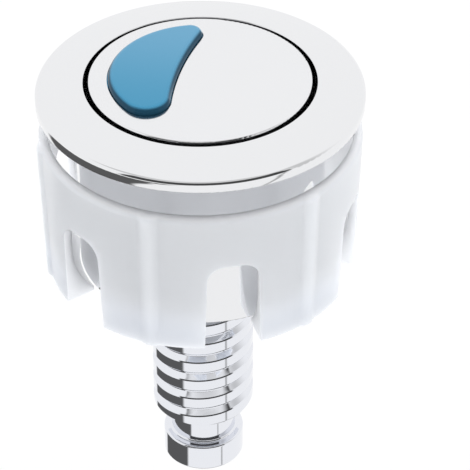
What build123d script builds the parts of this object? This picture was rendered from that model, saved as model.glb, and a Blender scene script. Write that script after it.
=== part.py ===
from build123d import *
from math import radians, tan
import os

# Dual flush push button for a cistern lid: a chromed bezel with its barrel, two nested buttons on springs,
# a threaded push stem and a white collar that grips the barrel from under the lid.
# Millimetres. Z points up. The origin is on the button's axis, on the flange's underside, where the lid
# sits. The half flush crescent lies on the -X side.

# Bezel: flange and barrel in one moulding
flange_radius = 29.0
flange_edge_height = 2.2
flange_edge_round = 0.95
flange_foot_round = 0.25
flange_rim_width = 2.0
flange_recess_depth = 1.2
flange_recess_inset = 1.2
dome_rise = 1.6
dome_bulge = 0.12
window_lip = 0.3
window_edge_round = 0.25
barrel_radius = 22.2
barrel_wall = 1.4
barrel_length = 33.2
barrel_foot_round = 0.3
bulkhead_step = 0.4
snap_bead_reach = 0.25
snap_bead_height = 0.9

# Full flush button: chromed cap, snapped over a carrier
cap_side_gap = 1.15
cap_proud = 0.25
cap_top_thickness = 1.75
cap_wall = 1.6
cap_edge_round = 0.4
cap_snap_lip = 0.35
cap_snap_height = 0.7
full_travel = 7.0
carrier_plate_thickness = 1.8
carrier_window_radius = 6.0
sleeve_wall = 1.2
sleeve_slot_width = 2.4
sleeve_slot_count = 4
sleeve_slot_room = 1.0
hook_reach = 0.9
hook_height = 1.4
guide_ring_thickness = 1.5

# Half flush button: blue crescent on two legs
crescent_margin = 3.3
crescent_inner_radius = 64.0
crescent_inner_offset = 3.7
crescent_near_round = 4.4
crescent_far_round = 2.4
crescent_proud = 1.3
crescent_edge_round = 1.1
crescent_roof = 1.8
crescent_wall = 1.3
crescent_flange_width = 1.0
crescent_flange_thickness = 1.3
half_travel = 4.0
leg_radius = 1.25
leg_angle = 32.0

# Guide bulkhead, fixed in the barrel
floor_thickness = 1.5
bulkhead_rim_height = 4.5
bulkhead_rim_wall = 1.5
guide_tube_wall = 1.0

# Hub that carries the stem
hub_flange_thickness = 1.5
hub_wall = 1.4
hub_length = 24.0

# Springs
full_spring_length = 19.2
full_spring_wire = 1.0
full_spring_turns = 6
half_spring_length = 11.1
half_spring_wire = 0.8
half_spring_turns = 5
spring_wire_sides = 12

# Stem: coarse right-hand thread, neck and tip
stem_radius = 9.5
thread_pitch = 4.35
thread_depth = 0.95
thread_floor_width = 0.2
thread_flank_width = 0.8
thread_edge_width = 0.25
thread_edge_depth = 0.12
thread_chamfer = 1.0
thread_length = 58.0
thread_run_out = 1.1
thread_start = 89.0
thread_sunk = 0.04
stem_inset = 5.0
stem_core_radius = 5.2
stem_core_depth = 48.0
neck_radius = 6.0
neck_length = 6.5
neck_fillet = 0.5
tip_step = 1.6
tip_length = 5.6
tip_edge_round = 0.45

# Grip collar under the lid: six fingers with ribs, lips curved in to the barrel
collar_length = 28.3
collar_overhang = 0.9
collar_setback = 0.25
collar_draft = 1.6
collar_wall = 1.6
collar_shoulder_round = 1.2
collar_turn = -6.0
finger_count = 6
lip_height = 11.2
lip_land = 0.9
rib_radius = 3.0
rib_height = 0.6
rib_blend = 1.2
slot_width = 9.2
slot_foot_width = 10.2
slot_height = 18.0
slot_round = 3.4
slot_flare = 5.0

# Clearances
rest_gap = 0.1
slide_gap = 0.2
spring_gap = 0.5
stop_gap = 1.0
leg_gap = 0.3
fit_gap = 0.05

# Heights that follow from the sizes above
bezel_top = flange_edge_height + dome_rise
cap_top = bezel_top + cap_proud
cap_under = cap_top - cap_top_thickness
crescent_top = cap_top + crescent_proud
crescent_flange_top = cap_under - rest_gap
crescent_foot = crescent_flange_top - crescent_flange_thickness
plate_top = crescent_foot - half_travel - stop_gap
plate_bottom = plate_top - carrier_plate_thickness
cap_foot = plate_bottom - cap_snap_height
hub_top = plate_bottom - rest_gap
hub_flange_bottom = hub_top - hub_flange_thickness
guide_ring_top = hub_flange_bottom - half_spring_length
guide_ring_bottom = guide_ring_top - guide_ring_thickness
guide_tube_top = plate_bottom - full_travel - stop_gap
floor_top = plate_bottom - full_spring_length
floor_bottom = floor_top - floor_thickness
bulkhead_top = floor_top + bulkhead_rim_height
snap_bead_middle = (floor_top + floor_bottom) / 2
hook_top = floor_bottom - rest_gap
sleeve_bottom = hook_top - hook_height
stem_top = hub_top - stem_inset
thread_end = stem_top - thread_length
neck_end = thread_end - neck_length
tip_end = neck_end - tip_length
collar_bottom = -barrel_length - collar_overhang
collar_top = collar_bottom + collar_length

# Radii that follow from the sizes above
barrel_bore = barrel_radius - barrel_wall
counterbore = barrel_bore + bulkhead_step
window_radius = barrel_bore - window_lip
cap_radius = barrel_bore - cap_side_gap
cap_bore = cap_radius - cap_wall
plate_radius = cap_bore + cap_wall / 2
crescent_outer_radius = cap_radius - crescent_margin
hub_bore = stem_radius + rest_gap
hub_radius = hub_bore + hub_wall
guide_ring_bore = hub_radius + slide_gap
half_spring_radius = hub_radius + spring_gap + half_spring_wire / 2
sleeve_bore = half_spring_radius + half_spring_wire / 2 + spring_gap
sleeve_radius = sleeve_bore + sleeve_wall
hub_flange_radius = sleeve_bore - slide_gap
leg_circle = (hub_bore + hub_flange_radius) / 2
guide_tube_bore = sleeve_radius + slide_gap
guide_tube_radius = guide_tube_bore + guide_tube_wall
full_spring_radius = (guide_tube_radius + plate_radius - cap_snap_lip) / 2
thread_root = stem_radius - thread_depth
tip_radius = neck_radius + tip_step
collar_radius = flange_radius - collar_setback
lip_radius = barrel_radius + slide_gap


def turned(*outline):
    """Solid of revolution about Z of a closed outline of (radius, height) points."""
    return revolve(Plane.XZ * make_face(Polyline(*outline, close=True)), Axis.Z)


def ring(inner, outer, bottom, top):
    """Plain ring about Z."""
    return turned((inner, bottom), (outer, bottom), (outer, top), (inner, top))


def rounded(face, *corners):
    """Round corners of a flat outline, each given as its place and its radius."""
    for place, radius in corners:
        corner = face.vertices().sort_by_distance(place)[0]
        face = fillet(corner, radius)
    return face


def crescent(grow):
    """Flat crescent outline, grown or shrunk evenly by the given amount."""
    outer = Circle(crescent_outer_radius + grow)
    bite_centre = crescent_inner_radius - crescent_inner_offset
    bite = Pos(bite_centre, 0) * Circle(crescent_inner_radius - grow)
    face = outer - bite
    near, far = face.vertices().sort_by(Axis.Y)
    return rounded(face, (near, crescent_near_round + grow), (far, crescent_far_round + grow))


def block(face, bottom, top):
    """Upright prism on a flat outline, between two heights."""
    return Pos(0, 0, bottom) * extrude(face, top - bottom)


def legs(radius, bottom, top):
    """The pair of upright legs under the crescent, or the holes that they pass through."""
    places = [Rot(0, 0, 180 + side * leg_angle) * Pos(leg_circle, 0) for side in (-1, 1)]
    return [block(place * Circle(radius), bottom, top) for place in places]


def coil(radius, wire, turns, bottom, top):
    """Open coil spring between two seats."""
    start = bottom + wire / 2 + fit_gap
    rise = top - wire / 2 - fit_gap - start
    path = Pos(0, 0, start) * Helix(rise / turns, rise, radius)
    section = Plane(origin=path @ 0, z_dir=path % 0) * RegularPolygon(wire / 2, spring_wire_sides)
    return sweep(section, path, is_frenet=True)


def snap_bead(radius):
    """Points of the small bead round the bulkhead, or of the groove for it in the barrel, from below."""
    return (
        (radius, snap_bead_middle - snap_bead_height / 2),
        (radius + snap_bead_reach, snap_bead_middle),
        (radius, snap_bead_middle + snap_bead_height / 2),
    )


def make_bezel():
    """Domed flange with a hollow underside, and the barrel that goes through the lid."""
    rim_corner = (flange_radius, flange_edge_height)
    foot_corner = (flange_radius, 0)
    window_corner = (window_radius, bezel_top)
    barrel_corner = (barrel_radius, -barrel_length)
    dome_middle = ((window_radius + flange_radius) / 2, (bezel_top + flange_edge_height) / 2 + dome_bulge)
    dome = ThreePointArc(window_corner, dome_middle, rim_corner)
    outline = Polyline(
        rim_corner,
        foot_corner,
        (barrel_radius, 0),
        barrel_corner,
        (counterbore, -barrel_length),
        *snap_bead(counterbore),
        (counterbore, bulkhead_top),
        (barrel_bore, bulkhead_top),
        (barrel_bore, 0),
        (window_radius, 0),
        window_corner,
    )
    section = rounded(
        make_face(dome + outline),
        (rim_corner, flange_edge_round),
        (foot_corner, flange_foot_round),
        (window_corner, window_edge_round),
        (barrel_corner, barrel_foot_round),
    )
    bezel = revolve(Plane.XZ * section, Axis.Z)
    recess_inner = barrel_radius + flange_recess_inset
    return bezel - ring(recess_inner, flange_radius - flange_rim_width, 0, flange_recess_depth)


def make_guide_bulkhead():
    """Floor and guide tube for the full flush sleeve, pushed up against the step in the barrel."""
    rim_radius = counterbore - fit_gap
    return turned(
        (guide_tube_bore, floor_bottom),
        (rim_radius, floor_bottom),
        *snap_bead(rim_radius),
        (rim_radius, bulkhead_top),
        (rim_radius - bulkhead_rim_wall, bulkhead_top),
        (rim_radius - bulkhead_rim_wall, floor_top),
        (guide_tube_radius, floor_top),
        (guide_tube_radius, guide_tube_top),
        (guide_tube_bore, guide_tube_top),
    )


def make_full_flush_cap():
    """Chromed cap: a thin cup with the crescent's window, and a snap lip that holds the carrier."""
    edge_corner = (cap_radius, cap_top)
    seat_radius = plate_radius + fit_gap
    outline = Polyline(
        (0, cap_top),
        edge_corner,
        (cap_radius, cap_foot),
        (seat_radius - cap_snap_lip, cap_foot),
        (seat_radius - cap_snap_lip, plate_bottom),
        (seat_radius, plate_bottom),
        (seat_radius, plate_top),
        (cap_bore, plate_top),
        (cap_bore, cap_under),
        (0, cap_under),
        close=True,
    )
    section = rounded(make_face(outline), (edge_corner, cap_edge_round))
    cap = revolve(Plane.XZ * section, Axis.Z)
    return cap - block(crescent(0), cap_under, cap_top)


def make_full_flush_carrier():
    """Plate under the cap, with a sleeve that slides in the guide tube and hooks under the bulkhead."""
    hook_radius = sleeve_radius + hook_reach
    body = turned(
        (carrier_window_radius, plate_top),
        (plate_radius, plate_top),
        (plate_radius, plate_bottom),
        (sleeve_radius, plate_bottom),
        (sleeve_radius, hook_top),
        (hook_radius, hook_top),
        (sleeve_radius, sleeve_bottom),
        (sleeve_bore, sleeve_bottom),
        (sleeve_bore, guide_ring_bottom),
        (guide_ring_bore, guide_ring_bottom),
        (guide_ring_bore, guide_ring_top),
        (sleeve_bore, guide_ring_top),
        (sleeve_bore, plate_bottom),
        (carrier_window_radius, plate_bottom),
    )
    slot_top = guide_ring_bottom - sleeve_slot_room
    slot = Pos(sleeve_radius, 0, (slot_top + sleeve_bottom) / 2) * Box(
        2 * (hook_reach + sleeve_wall), sleeve_slot_width, slot_top - sleeve_bottom
    )
    body -= [Rot(0, 0, 360 * n / sleeve_slot_count) * slot for n in range(sleeve_slot_count)]
    return body - legs(leg_radius + leg_gap, plate_bottom, plate_top)


def make_half_flush_cap():
    """Blue crescent, hollow underneath, with a flange that stops it in the cap and two legs to the hub."""
    button = block(crescent(-slide_gap), crescent_foot, crescent_top)
    top_edges = button.faces().sort_by(Axis.Z)[-1].edges()
    button = fillet(top_edges, crescent_edge_round)
    button += block(crescent(crescent_flange_width), crescent_foot, crescent_flange_top)
    button -= block(crescent(-slide_gap - crescent_wall), crescent_foot, crescent_top - crescent_roof)
    return button + legs(leg_radius, hub_top, crescent_top - crescent_roof)


def make_stem_hub():
    """Flanged nut that the legs push down, with the stem's thread in its bore."""
    hub_bottom = hub_top - hub_length
    return turned(
        (hub_bore, hub_top),
        (hub_flange_radius, hub_top),
        (hub_flange_radius, hub_flange_bottom),
        (hub_radius, hub_flange_bottom),
        (hub_radius, hub_bottom),
        (hub_bore, hub_bottom),
    )


def make_thread_ridge():
    """Right-hand ridge of the thread, with a narrow bevel along each side of its crest."""
    half_foot = (thread_pitch - thread_floor_width) / 2
    half_bevel = half_foot - thread_flank_width
    half_crest = half_bevel - thread_edge_width
    bevel = stem_radius - thread_edge_depth
    half_sunk = half_foot + thread_sunk * thread_flank_width / (bevel - thread_root)
    outline = Polyline(
        (thread_root - thread_sunk, -half_sunk),
        (bevel, -half_bevel),
        (stem_radius, -half_crest),
        (stem_radius, half_crest),
        (bevel, half_bevel),
        (thread_root - thread_sunk, half_sunk),
        close=True,
    )
    spare = thread_run_out * thread_pitch
    path = Helix(thread_pitch, thread_length + 2 * spare, thread_root)
    ridge = sweep(Plane.XZ * make_face(outline), path, is_frenet=True)
    chamfered_length = turned(
        (0, thread_end),
        (stem_radius - thread_chamfer, thread_end),
        (stem_radius + fit_gap, thread_end + thread_chamfer),
        (stem_radius + fit_gap, stem_top - thread_chamfer),
        (stem_radius - thread_chamfer, stem_top),
        (0, stem_top),
    )
    return Pos(0, 0, thread_end - spare) * Rot(0, 0, thread_start) * ridge & chamfered_length


def make_threaded_stem():
    """Push stem: threaded length, neck and tip, cored from its top end."""
    tip_top = (tip_radius, neck_end)
    tip_foot = (tip_radius, tip_end)
    neck_foot = (neck_radius, neck_end)
    core_floor = stem_top - stem_core_depth
    outline = Polyline(
        (stem_core_radius, stem_top),
        (thread_root, stem_top),
        (thread_root, thread_end),
        (neck_radius, thread_end),
        neck_foot,
        tip_top,
        tip_foot,
        (0, tip_end),
        (0, core_floor),
        (stem_core_radius, core_floor),
        close=True,
    )
    section = rounded(
        make_face(outline),
        (neck_foot, neck_fillet),
        (tip_top, tip_edge_round),
        (tip_foot, tip_edge_round),
    )
    return revolve(Plane.XZ * section, Axis.Z) + make_thread_ridge()


def collar_outline():
    """Round wall with one soft rib on the middle of each finger, seen from above."""
    rib = Circle(rib_radius)
    rib_circle = collar_radius + rib_height - rib_radius
    outline = Circle(collar_radius)
    outline += [place * rib for place in PolarLocations(rib_circle, finger_count, 180 / finger_count)]
    return fillet(outline.vertices(), rib_blend)


def collar_hollow():
    """Space inside the collar: a drafted wall above, curving in to the lips that grip the barrel."""
    curve_top = collar_bottom + lip_height
    curve_foot = collar_bottom + lip_land
    mouth = collar_radius - collar_wall
    wall_bore = mouth - (collar_top - curve_top) * tan(radians(collar_draft))
    reach = wall_bore - lip_radius
    drop = curve_top - curve_foot
    curve_radius = (reach**2 + drop**2) / (2 * reach)
    curve = RadiusArc((wall_bore, curve_top), (lip_radius, curve_foot), curve_radius)
    sides = Polyline(
        (lip_radius, curve_foot),
        (lip_radius, collar_bottom),
        (0, collar_bottom),
        (0, collar_top),
        (mouth, collar_top),
        (wall_bore, curve_top),
    )
    return revolve(Plane.XZ * make_face(curve + sides), Axis.Z)


def slot_section(radius):
    """Upright outline of a slot where it crosses the given radius. The slot flares outwards."""
    narrowing = (collar_radius - radius) * tan(radians(slot_flare))
    half_top = slot_width / 2 - narrowing
    half_foot = slot_foot_width / 2 - narrowing
    slot_top = collar_bottom + slot_height
    outline = Polyline(
        (-half_foot, collar_bottom),
        (half_foot, collar_bottom),
        (half_top, slot_top),
        (-half_top, slot_top),
        close=True,
    )
    corners = [((side * half_top, slot_top), slot_round) for side in (-1, 1)]
    return Plane.YZ.offset(radius) * rounded(make_face(outline), *corners)


def finger_slot():
    """Wedge cut out between two fingers, a little wider at its open foot, with a rounded top."""
    inside = lip_radius - collar_wall
    outside = collar_radius + rib_height
    return loft([slot_section(inside), slot_section(outside)], ruled=True)


def make_grip_collar():
    """White collar: slotted wall, drafted towards its foot, with ribs and lips."""
    face = Pos(0, 0, collar_top) * collar_outline()
    wall = extrude(face, collar_length, dir=(0, 0, -1), taper=collar_draft)
    shoulder = wall.faces().sort_by(Axis.Z)[-1].edges()
    wall = fillet(shoulder, collar_shoulder_round)
    collar = wall - collar_hollow()
    collar -= [Rot(0, 0, 360 * n / finger_count) * finger_slot() for n in range(finger_count)]
    return Rot(0, 0, collar_turn) * collar


def make_full_flush_spring():
    """Return spring between the bulkhead's floor and the carrier's plate."""
    return coil(full_spring_radius, full_spring_wire, full_spring_turns, floor_top, plate_bottom)


def make_half_flush_spring():
    """Return spring between the sleeve's guide ring and the hub's flange."""
    return coil(half_spring_radius, half_spring_wire, half_spring_turns, guide_ring_top, hub_flange_bottom)


pieces = {
    "bezel": make_bezel,
    "guide_bulkhead": make_guide_bulkhead,
    "full_flush_cap": make_full_flush_cap,
    "full_flush_carrier": make_full_flush_carrier,
    "full_flush_spring": make_full_flush_spring,
    "half_flush_cap": make_half_flush_cap,
    "half_flush_spring": make_half_flush_spring,
    "stem_hub": make_stem_hub,
    "threaded_stem": make_threaded_stem,
    "grip_collar": make_grip_collar,
}

os.makedirs("parts", exist_ok=True)
for name, make in pieces.items():
    export_step(make(), f"parts/{name}.step")
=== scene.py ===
from math import cos, radians, sin

import bpy
from mathutils import Matrix, Vector


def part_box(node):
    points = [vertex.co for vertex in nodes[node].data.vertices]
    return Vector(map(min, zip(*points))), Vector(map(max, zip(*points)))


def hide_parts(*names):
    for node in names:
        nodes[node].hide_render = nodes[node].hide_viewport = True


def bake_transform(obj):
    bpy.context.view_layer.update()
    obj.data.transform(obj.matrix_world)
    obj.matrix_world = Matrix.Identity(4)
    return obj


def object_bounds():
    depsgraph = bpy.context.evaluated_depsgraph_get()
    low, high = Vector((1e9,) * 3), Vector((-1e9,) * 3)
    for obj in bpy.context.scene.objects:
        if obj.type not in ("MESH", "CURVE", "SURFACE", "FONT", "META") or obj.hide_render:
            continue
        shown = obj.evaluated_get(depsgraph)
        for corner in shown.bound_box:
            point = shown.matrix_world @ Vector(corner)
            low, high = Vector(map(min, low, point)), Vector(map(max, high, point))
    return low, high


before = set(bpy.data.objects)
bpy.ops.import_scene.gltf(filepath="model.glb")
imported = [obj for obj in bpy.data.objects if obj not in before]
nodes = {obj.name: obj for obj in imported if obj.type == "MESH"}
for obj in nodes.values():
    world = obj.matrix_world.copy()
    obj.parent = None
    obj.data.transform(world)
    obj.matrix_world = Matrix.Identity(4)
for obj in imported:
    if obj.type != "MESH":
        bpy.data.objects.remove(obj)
cad_low, cad_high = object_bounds()

# The viewpoint: how far round from the front and above the horizon, and where the lens stands, in metres
view_azimuth = radians(12.0)
view_elevation = radians(36.912)
lens_mm = 191.16
sensor_mm = 36
nearest_seen = 0.01
lens_place = Vector((0.00607, -0.36487, 0.24378))

# The floor lies under the lowest place that the stem can reach, and part of its white is its own
floor_height = cad_low.z - 0.02
floor_half_width = 3.0
floor_white = (0.91, 0.91, 0.91)
floor_roughness = 0.9
floor_glow = 0.85

# The upright part of the flange's rim, in metres, and how far its lower and upper edge turn from upright
rim_height = 0.0012
rim_turn_low = -0.26
rim_turn_high = 0.065
rim_fade = 0.0002

# The collar's white plastic: its wall, its thick feet darkened as painted shade, and the faces that look at
# the barrel lightened as painted light
white_wall = (0.88, 0.91, 0.96)
white_foot_painted_shade = (0.6, 0.615, 0.64)
white_inside_painted_light = (0.96, 0.975, 1.0)
foot_height = 0.01
light_depth = 0.01

# The crescent's blue: the near end of its top, its far end lightened as painted light, its upright sides
# darkened as painted shade, and those that look back lightened as a painted highlight
blue_near = (0.08, 0.33, 0.53)
blue_far_painted_light = (0.165, 0.41, 0.61)
blue_side_painted_shade = (0.014, 0.06, 0.1)
blue_back_painted_highlight = (0.34, 0.54, 0.68)

chrome_tone = (0.84, 0.845, 0.86)
stem_tone = (0.81, 0.825, 0.87)
inner_tone = (0.78, 0.78, 0.77)
steel_tone = (0.6, 0.6, 0.6)

# Each finish: its colour, share of metal, roughness, how far that goes up and down, and the nodes with it
finishes = {
    "chrome_plate": (chrome_tone, 1.0, 0.05, 0.25, ["bezel"]),
    "cap_chrome": (chrome_tone, 1.0, 0.12, 0.2, ["full_flush_cap"]),
    "stem_chrome": (stem_tone, 1.0, 0.05, 0.4, ["threaded_stem"]),
    "blue_plastic": (blue_near, 1.0, 0.14, 0.15, ["half_flush_cap"]),
    "white_plastic": (white_wall, 0.0, 0.35, 0.2, ["grip_collar"]),
    "inner_plastic": (inner_tone, 0.0, 0.5, 0.2, ["guide_bulkhead", "full_flush_carrier", "stem_hub"]),
    "spring_steel": (steel_tone, 1.0, 0.3, 0.3, ["full_flush_spring", "half_flush_spring"]),
}
patches_per_metre = 160.0
patch_detail = 4.0

# The soft light: its tone, its level, and what is added at the sides, on the right and behind
light_tone = (0.97, 0.99, 1.03)
light_level = 0.96
light_sides = 0.43
light_right = 0.1
light_behind = 0.8
light_behind_left = 0.4

# The dark parts of the room that the chrome mirrors. Each has its lowest and highest place above the horizon
# in degrees and the softness of those edges, its first and last side round from the viewpoint and their
# softness in degrees, and how dark it is
room_zones = {
    "low line": ((-60, -1, 0.02), (53, 57, 2), 0.6),
    "front": ((1, 46, 0.03), (-52, 60, 3), 0.93),
    "right": ((6, 54, 0.08), (62, 86, 20), 0.45),
    "upper": ((50, 70, 0.05), (-100, 60, 12), 0.35),
}
# The dark part on the left leans: its sides shift with height, from the height where they are as written
left_zone = ((-60, -12, 0.03), (-131, -42, 4), 0.89)
left_lean = radians(-75)
left_lean_height = -0.6
ground_dark = 0.45


def mapped(tree, value, start, end, low=0.0, high=1.0, curve="SMOOTHSTEP"):
    node = tree.nodes.new("ShaderNodeMapRange")
    node.interpolation_type = curve
    node.inputs["From Min"].default_value = start
    node.inputs["From Max"].default_value = end
    node.inputs["To Min"].default_value = low
    node.inputs["To Max"].default_value = high
    tree.links.new(value, node.inputs["Value"])
    return node.outputs["Result"]


def number_math(tree, operation, first, second):
    node = tree.nodes.new("ShaderNodeMath")
    node.operation = operation
    for socket, value in zip(node.inputs, (first, second)):
        if isinstance(value, float):
            socket.default_value = value
        else:
            tree.links.new(value, socket)
    return node.outputs["Value"]


def vector_math(tree, operation, *vectors):
    node = tree.nodes.new("ShaderNodeVectorMath")
    node.operation = operation
    for socket, vector in zip(node.inputs, vectors):
        tree.links.new(vector, socket)
    return node


def blend(tree, share, first, second):
    node = tree.nodes.new("ShaderNodeMix")
    node.data_type = "RGBA"
    tree.links.new(share, node.inputs["Factor"])
    for socket, colour in ((node.inputs[6], first), (node.inputs[7], second)):
        if isinstance(colour, tuple):
            socket.default_value = (*colour, 1)
        else:
            tree.links.new(colour, socket)
    return node.outputs[2]


def mix_shaders(tree, share, first, second, end):
    mix = tree.nodes.new("ShaderNodeMixShader")
    tree.links.new(share, mix.inputs["Fac"])
    tree.links.new(first, mix.inputs[1])
    tree.links.new(second, mix.inputs[2])
    tree.links.new(mix.outputs["Shader"], tree.nodes[end].inputs["Surface"])


def part_of(tree, vector, axis):
    split = tree.nodes.new("ShaderNodeSeparateXYZ")
    tree.links.new(vector, split.inputs["Vector"])
    return split.outputs[axis]


def material(name, colour, metallic, roughness):
    made = bpy.data.materials.new(name)
    made.use_nodes = True
    shader = made.node_tree.nodes["Principled BSDF"]
    shader.inputs["Base Color"].default_value = (*colour, 1)
    shader.inputs["Metallic"].default_value = metallic
    shader.inputs["Roughness"].default_value = roughness
    return made, shader


def vary_gloss(tree, shader, roughness, uneven):
    """Roughness that goes a little up and down over the surface, by the share uneven."""
    place = tree.nodes.new("ShaderNodeTexCoord")
    noise = tree.nodes.new("ShaderNodeTexNoise")
    noise.inputs["Scale"].default_value = patches_per_metre
    noise.inputs["Detail"].default_value = patch_detail
    tree.links.new(place.outputs["Object"], noise.inputs["Vector"])
    least = roughness * (1 - uneven)
    most = roughness * (1 + uneven)
    varied = mapped(tree, noise.outputs["Fac"], 0.3, 0.7, least, most, "LINEAR")
    tree.links.new(varied, shader.inputs["Roughness"])


def crown_rim(tree, shader):
    """The flange's rim is a little crowned, so what it mirrors changes over its height."""
    geometry = tree.nodes.new("ShaderNodeNewGeometry")
    height = part_of(tree, geometry.outputs["Position"], "Z")
    turn = mapped(tree, height, 0.0, rim_height, rim_turn_low, rim_turn_high, "LINEAR")
    on_rim = mapped(tree, height, -rim_fade, 0.0)
    upright = tree.nodes.new("ShaderNodeCombineXYZ")
    tree.links.new(number_math(tree, "MULTIPLY", turn, on_rim), upright.inputs["Z"])
    turned = vector_math(tree, "ADD", geometry.outputs["Normal"], upright.outputs["Vector"])
    normal = vector_math(tree, "NORMALIZE", turned.outputs["Vector"])
    tree.links.new(normal.outputs["Vector"], shader.inputs["Normal"])


def paint_crescent_light_and_shade(tree, shader):
    """The crescent's plate: painted shade makes its upright sides deep blue against a paler top, painted
    light makes its far end palest, and a painted highlight lightens the sides that look back.
    """
    geometry = tree.nodes.new("ShaderNodeNewGeometry")
    low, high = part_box("half_flush_cap")
    far_light_share = mapped(tree, part_of(tree, geometry.outputs["Position"], "Y"), low.y, high.y)
    back_highlight_share = mapped(tree, part_of(tree, geometry.outputs["Normal"], "Y"), 0.02, 0.4)
    upward = mapped(tree, part_of(tree, geometry.outputs["Normal"], "Z"), 0.62, 0.985)
    # Painted light: the top grows paler towards its far end.
    top_with_painted_light = blend(tree, far_light_share, blue_near, blue_far_painted_light)
    # Painted shade darkens the upright sides, and a painted highlight lightens those that look back.
    side = blend(tree, back_highlight_share, blue_side_painted_shade, blue_back_painted_highlight)
    tree.links.new(blend(tree, upward, side, top_with_painted_light), shader.inputs["Base Color"])
    tree.links.new(upward, shader.inputs["Metallic"])
    shader.inputs["Specular IOR Level"].default_value = 0.1


def shade_collar(tree, shader):
    """White plastic that light passes through, with painted shade making the thick feet a little darker and
    painted light brightening the faces that look inward.
    """
    geometry = tree.nodes.new("ShaderNodeNewGeometry")
    place = geometry.outputs["Position"]
    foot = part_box("grip_collar")[0].z
    rise = mapped(tree, part_of(tree, place, "Z"), foot, foot + foot_height)
    outside = vector_math(tree, "DOT_PRODUCT", place, geometry.outputs["Normal"])
    outward = mapped(tree, outside.outputs["Value"], 0.012, 0.024)
    # Painted shade: the thick feet are darker.
    wall_with_painted_foot_shade = blend(tree, rise, white_foot_painted_shade, white_wall)
    # Painted light: the faces that look inward are lighter.
    tree.links.new(blend(tree, outward, white_inside_painted_light, wall_with_painted_foot_shade), shader.inputs["Base Color"])
    shader.inputs["Subsurface Weight"].default_value = 1.0
    shader.inputs["Subsurface Radius"].default_value = (1.0, 1.0, 1.0)
    shader.inputs["Subsurface Scale"].default_value = light_depth


def dress():
    details = {"chrome_plate": crown_rim, "blue_plastic": paint_crescent_light_and_shade, "white_plastic": shade_collar}
    for name, (colour, metallic, roughness, uneven, wearers) in finishes.items():
        made, shader = material(name, colour, metallic, roughness)
        vary_gloss(made.node_tree, shader, roughness, uneven)
        if name in details:
            details[name](made.node_tree, shader)
        for wearer in wearers:
            mesh = nodes[wearer].data
            mesh.materials.clear()
            mesh.materials.append(made)


def make_spring(name):
    """A copy of the spring's mesh, which takes the place of the spring from model.glb."""
    spring = bpy.data.objects.new(name + "_coil", nodes[name].data.copy())
    bpy.context.scene.collection.objects.link(spring)
    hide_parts(name)
    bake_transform(spring)


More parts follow.
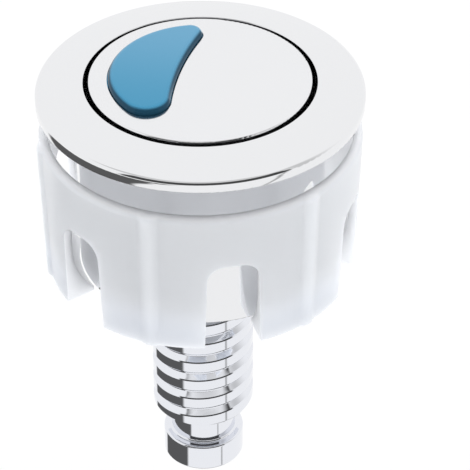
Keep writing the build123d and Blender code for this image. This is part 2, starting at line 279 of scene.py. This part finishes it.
class Studio:
    """The world: a plain soft studio, with the dark parts of the room that the chrome mirrors."""

    def __init__(self):
        world = bpy.data.worlds.new("studio")
        bpy.context.scene.world = world
        world.use_nodes = True
        self.tree = world.node_tree
        place = self.tree.nodes.new("ShaderNodeTexCoord")
        turn = self.tree.nodes.new("ShaderNodeVectorRotate")
        turn.rotation_type = "Z_AXIS"
        turn.inputs["Angle"].default_value = -view_azimuth
        self.tree.links.new(place.outputs["Generated"], turn.inputs["Vector"])
        self.across = part_of(self.tree, turn.outputs["Vector"], "X")
        self.away = part_of(self.tree, turn.outputs["Vector"], "Y")
        self.height = part_of(self.tree, turn.outputs["Vector"], "Z")
        self.side = number_math(self.tree, "ARCTAN2", self.across, self.times(self.away, -1.0))

    def plus(self, first, second):
        return number_math(self.tree, "ADD", first, second)

    def times(self, first, second):
        return number_math(self.tree, "MULTIPLY", first, second)

    def band(self, value, start, end, soft):
        rise = mapped(self.tree, value, start - soft, start + soft)
        fall = mapped(self.tree, value, end - soft, end + soft, 1.0, 0.0)
        return self.times(rise, fall)

    def darken(self, light, side, heights, sides, dark):
        """The light, made darker between those heights and sides."""
        low, high, soft = heights
        upright = self.band(self.height, sin(radians(low)), sin(radians(high)), soft)
        round_about = self.band(side, *(radians(degrees) for degrees in sides))
        cover = self.times(self.times(upright, round_about), dark)
        return self.times(light, number_math(self.tree, "SUBTRACT", 1.0, cover))

    def mirrored(self):
        """What the chrome mirrors: a white room with its dark parts, and darker ground straight below."""
        light = mapped(self.tree, self.height, -0.95, -0.84, ground_dark, 1.0)
        lean = self.times(self.plus(self.height, -left_lean_height), left_lean)
        light = self.darken(light, self.plus(self.side, lean), *left_zone)
        for zone in room_zones.values():
            light = self.darken(light, self.side, *zone)
        return light

    def soft(self):
        """The light that falls on the object, a little stronger at the sides and behind."""
        sideways = self.times(self.across, self.across)
        light = self.plus(self.times(sideways, light_sides), light_level)
        light = self.plus(self.times(self.across, light_right), light)
        behind = mapped(self.tree, self.away, 0.0, 0.9, 0.0, light_behind)
        rightward = mapped(self.tree, self.across, -1.0, 0.1, light_behind_left, 1.0)
        return self.plus(self.times(behind, rightward), light)


def make_world():
    studio = Studio()
    tree = studio.tree
    path = tree.nodes.new("ShaderNodeLightPath")
    soft = tree.nodes["Background"]
    soft.inputs["Color"].default_value = (*light_tone, 1)
    tree.links.new(studio.soft(), soft.inputs["Strength"])
    room = tree.nodes.new("ShaderNodeBackground")
    room.inputs["Color"].default_value = (1, 1, 1, 1)
    tree.links.new(studio.mirrored(), room.inputs["Strength"])
    glossy = path.outputs["Is Glossy Ray"]
    mix_shaders(tree, glossy, soft.outputs["Background"], room.outputs["Background"], "World Output")


def make_floor():
    mesh = bpy.data.meshes.new("floor")
    size = floor_half_width
    corners = [(-size, -size, 0), (size, -size, 0), (size, size, 0), (-size, size, 0)]
    mesh.from_pydata(corners, [], [(0, 1, 2, 3)])
    floor = bpy.data.objects.new("floor", mesh)
    floor.location.z = floor_height
    floor.visible_glossy = False
    bpy.context.scene.collection.objects.link(floor)
    made, shader = material("floor", floor_white, 0.0, floor_roughness)
    tree = made.node_tree
    path = tree.nodes.new("ShaderNodeLightPath")
    glow = tree.nodes.new("ShaderNodeEmission")
    share = number_math(tree, "MULTIPLY", path.outputs["Is Camera Ray"], floor_glow)
    mix_shaders(tree, share, shader.outputs["BSDF"], glow.outputs["Emission"], "Material Output")
    mesh.materials.append(made)


def make_camera():
    data = bpy.data.cameras.new("camera")
    data.lens = lens_mm
    data.sensor_width = sensor_mm
    data.clip_start = nearest_seen
    camera = bpy.data.objects.new("camera", data)
    turn = Matrix.Rotation(view_azimuth, 3, "Z")
    camera.location = turn @ lens_place
    forward = turn @ Vector((0, cos(view_elevation), -sin(view_elevation)))
    camera.rotation_euler = forward.to_track_quat("-Z", "Y").to_euler()
    bpy.context.scene.collection.objects.link(camera)
    bpy.context.scene.camera = camera


dress()
make_spring("full_flush_spring")
make_spring("half_flush_spring")
make_world()
make_floor()
make_camera()
bpy.context.scene.view_settings.view_transform = "Standard"
